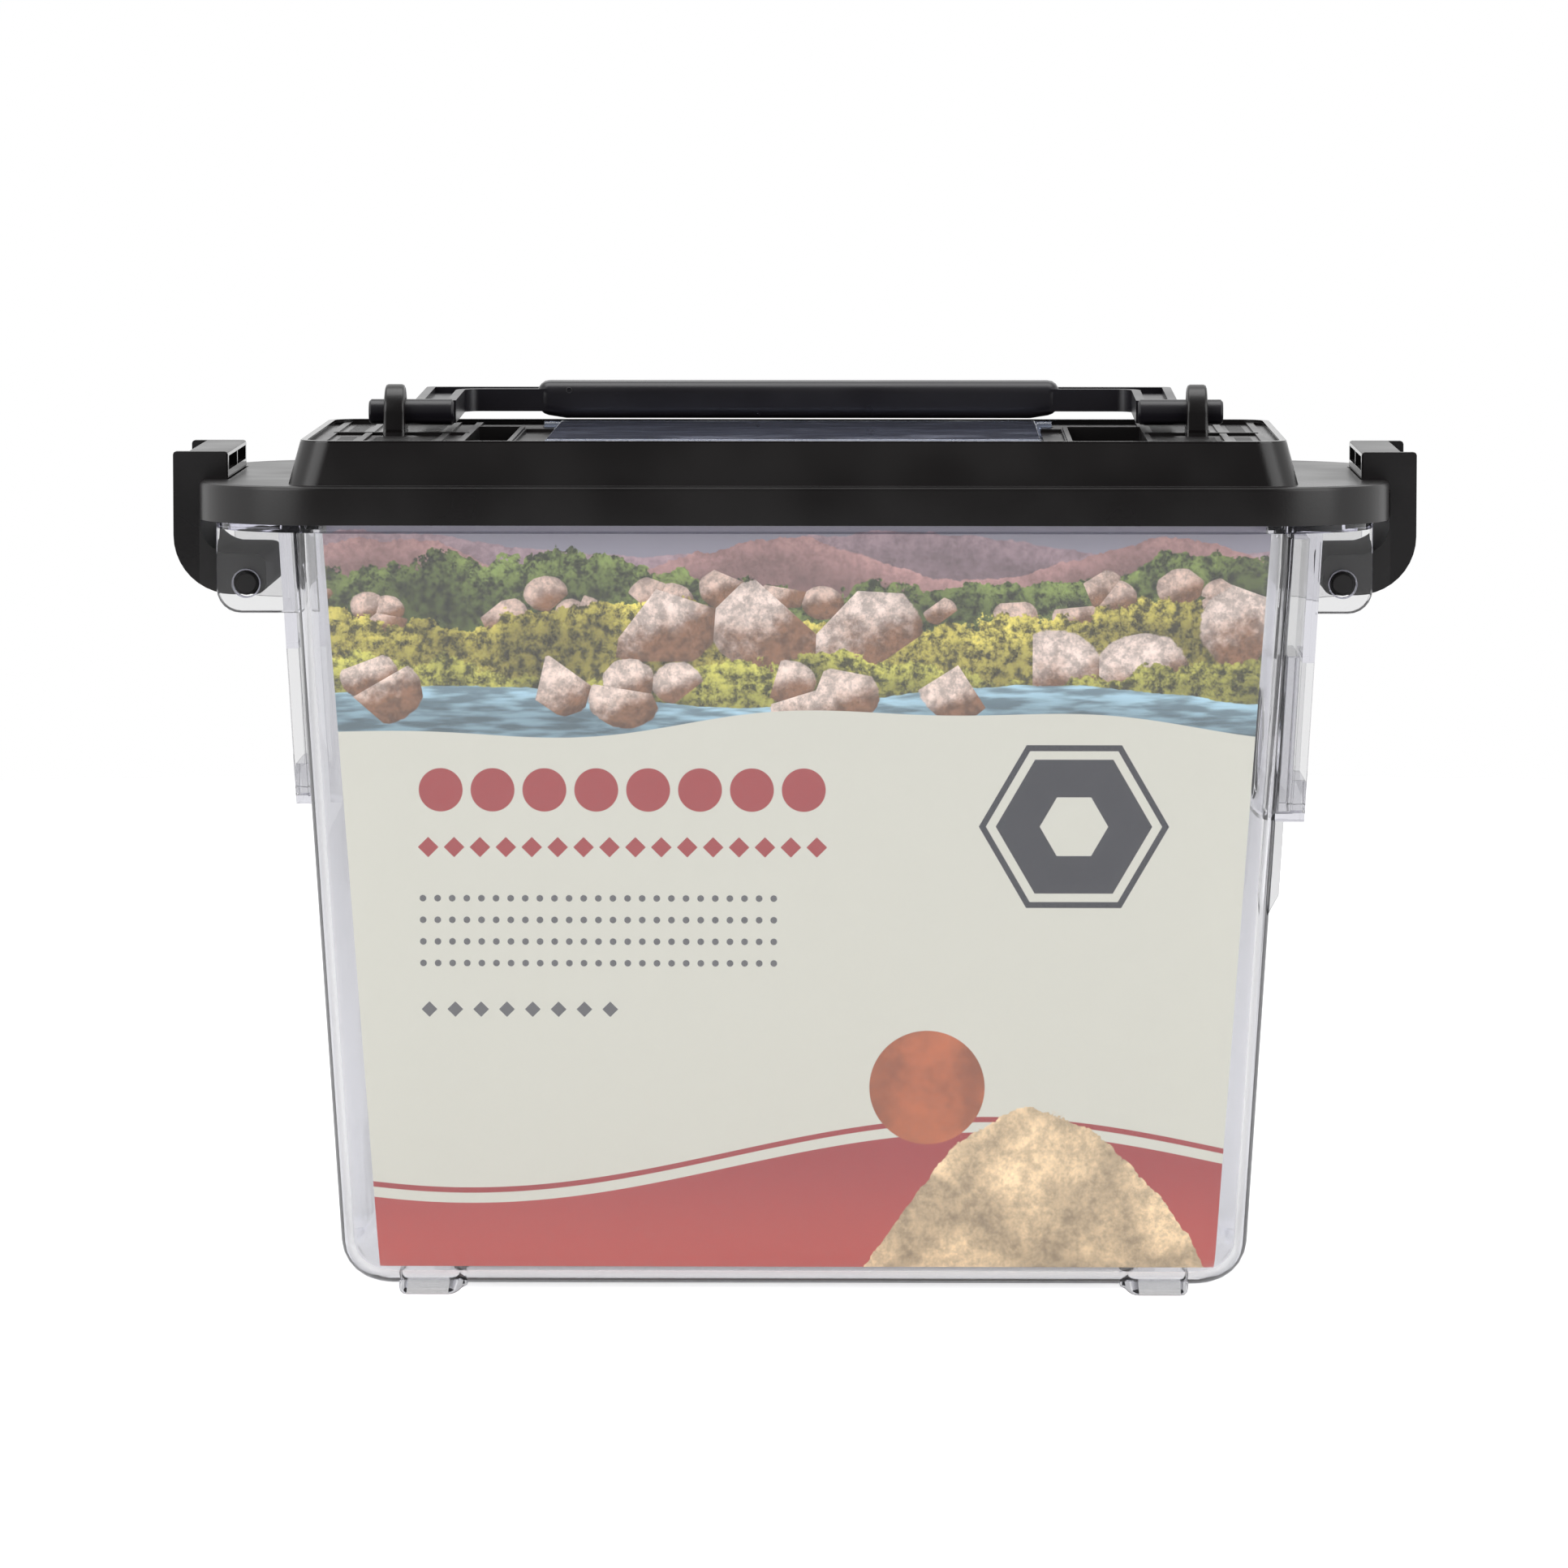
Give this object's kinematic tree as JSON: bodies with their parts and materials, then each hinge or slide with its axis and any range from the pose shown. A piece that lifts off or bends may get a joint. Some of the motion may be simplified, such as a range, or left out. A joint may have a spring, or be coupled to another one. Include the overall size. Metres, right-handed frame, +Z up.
{
  "type": "insect keeper box",
  "caption": "Clear drafted keeper box with a black latched lid, folding carry handle, lift-up trapdoor, lifting end gates and dark hiding tubes inside.",
  "frame": {"origin": "on the surface that the feet stand on, under the middle of the tub", "axes": "+X along the box to the right, +Y to the back, +Z up; the printed card is at the front, -Y"},
  "size_m": [0.205, 0.088, 0.149],
  "materials": {
    "clear_plastic": "clear polished styrene",
    "smoked_clear_plastic": "clear polished styrene over a dark opening",
    "black_plastic": "fine matt moulded black",
    "tube_plastic": "coarse textured black",
    "printed_card": "printed satin card"
  },
  "bodies": {
    "housing": {"tub": "clear_plastic", "lid": "black_plastic", "label_card": "printed_card", "hiding_tube_front": "tube_plastic", "hiding_tube_back": "tube_plastic"},
    "handle": {"carry_handle": "black_plastic"},
    "door": {"trapdoor": "smoked_clear_plastic"},
    "latch_left": {"latch_left": "black_plastic"},
    "latch_right": {"latch_right": "black_plastic"},
    "gate_left": {"port_gate_left": "clear_plastic"},
    "gate_right": {"port_gate_right": "clear_plastic"}
  },
  "joints": [
    {"name": "handle_fold", "type": "hinge", "parent": "housing", "child": "handle", "pos_m": [0, 0, 0.1444], "axis": [1, 0, 0], "range_deg": [0, 177]},
    {"name": "door_lift", "type": "hinge", "parent": "housing", "child": "door", "pos_m": [0, 0.0283, 0.1406], "axis": [-1, 0, 0], "range_deg": [0, 100]},
    {"name": "latch_left_swing", "type": "hinge", "parent": "housing", "child": "latch_left", "pos_m": [-0.0903, 0, 0.1171], "axis": [0, -1, 0], "range_deg": [0, 110]},
    {"name": "latch_right_swing", "type": "hinge", "parent": "housing", "child": "latch_right", "pos_m": [0.0903, 0, 0.1171], "axis": [0, 1, 0], "range_deg": [0, 110]},
    {"name": "gate_left_lift", "type": "slide", "parent": "housing", "child": "gate_left", "axis": [-0.0593, 0, 0.9982], "range_m": [0, 0.019]},
    {"name": "gate_right_lift", "type": "slide", "parent": "housing", "child": "gate_right", "axis": [0.0593, 0, 0.9982], "range_m": [0, 0.019]}
  ]
}
